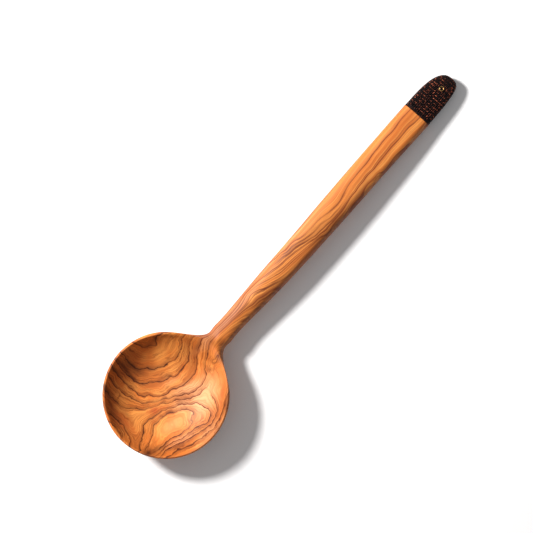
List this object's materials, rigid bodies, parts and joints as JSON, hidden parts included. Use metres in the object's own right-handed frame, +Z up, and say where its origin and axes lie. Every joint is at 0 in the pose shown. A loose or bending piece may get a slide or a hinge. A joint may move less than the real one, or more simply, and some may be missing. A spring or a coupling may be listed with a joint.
{
  "type": "wooden serving spoon",
  "caption": "Round-bowled wooden serving spoon carved from one piece, its handle end covered by a woven wire sleeve with a small brass eye.",
  "frame": {"origin": "middle of the flat under the bowl, on the surface that the spoon lies on", "axes": "+X along the handle from the bowl to the tip, +Z up out of the bowl, +Y to the left of the handle seen from the bowl"},
  "size_m": [0.305, 0.0786, 0.0249],
  "materials": {
    "olive_wood": "oiled olive wood, sanded smooth",
    "aged_copper_wire": "drawn copper wire, patinated near black",
    "black_wire": "black enamelled wire",
    "copper_wire": "bright drawn copper wire, partly darkened",
    "brass_wire": "bright brass wire"
  },
  "bodies": {
    "root": {"spoon_body": "olive_wood", "warp_wire_01": "aged_copper_wire", "warp_wire_02": "aged_copper_wire", "warp_wire_03": "aged_copper_wire", "warp_wire_04": "aged_copper_wire", "warp_wire_05": "aged_copper_wire", "warp_wire_06": "aged_copper_wire", "warp_wire_07": "aged_copper_wire", "warp_wire_08": "aged_copper_wire", "warp_wire_09": "aged_copper_wire", "warp_wire_10": "aged_copper_wire", "warp_wire_11": "aged_copper_wire", "warp_wire_12": "aged_copper_wire", "warp_wire_13": "aged_copper_wire", "warp_wire_14": "aged_copper_wire", "warp_wire_15": "aged_copper_wire", "warp_wire_16": "aged_copper_wire", "warp_wire_17": "aged_copper_wire", "warp_wire_18": "aged_copper_wire", "warp_wire_19": "aged_copper_wire", "warp_wire_20": "aged_copper_wire", "warp_wire_21": "aged_copper_wire", "warp_wire_22": "aged_copper_wire", "warp_wire_23": "aged_copper_wire", "warp_wire_24": "aged_copper_wire", "warp_wire_25": "aged_copper_wire", "warp_wire_26": "aged_copper_wire", "warp_wire_27": "aged_copper_wire", "warp_wire_28": "aged_copper_wire", "warp_wire_29": "aged_copper_wire", "warp_wire_30": "aged_copper_wire", "warp_wire_31": "aged_copper_wire", "warp_wire_32": "aged_copper_wire", "warp_wire_33": "aged_copper_wire", "warp_wire_34": "aged_copper_wire", "warp_wire_35": "aged_copper_wire", "warp_wire_36": "aged_copper_wire", "warp_wire_37": "aged_copper_wire", "warp_wire_38": "aged_copper_wire", "warp_wire_39": "aged_copper_wire", "warp_wire_40": "aged_copper_wire", "weft_wire_black": "black_wire", "weft_wire_copper": "copper_wire", "mouth_binding": "black_wire", "brass_eye": "brass_wire"}
  },
  "joints": []
}
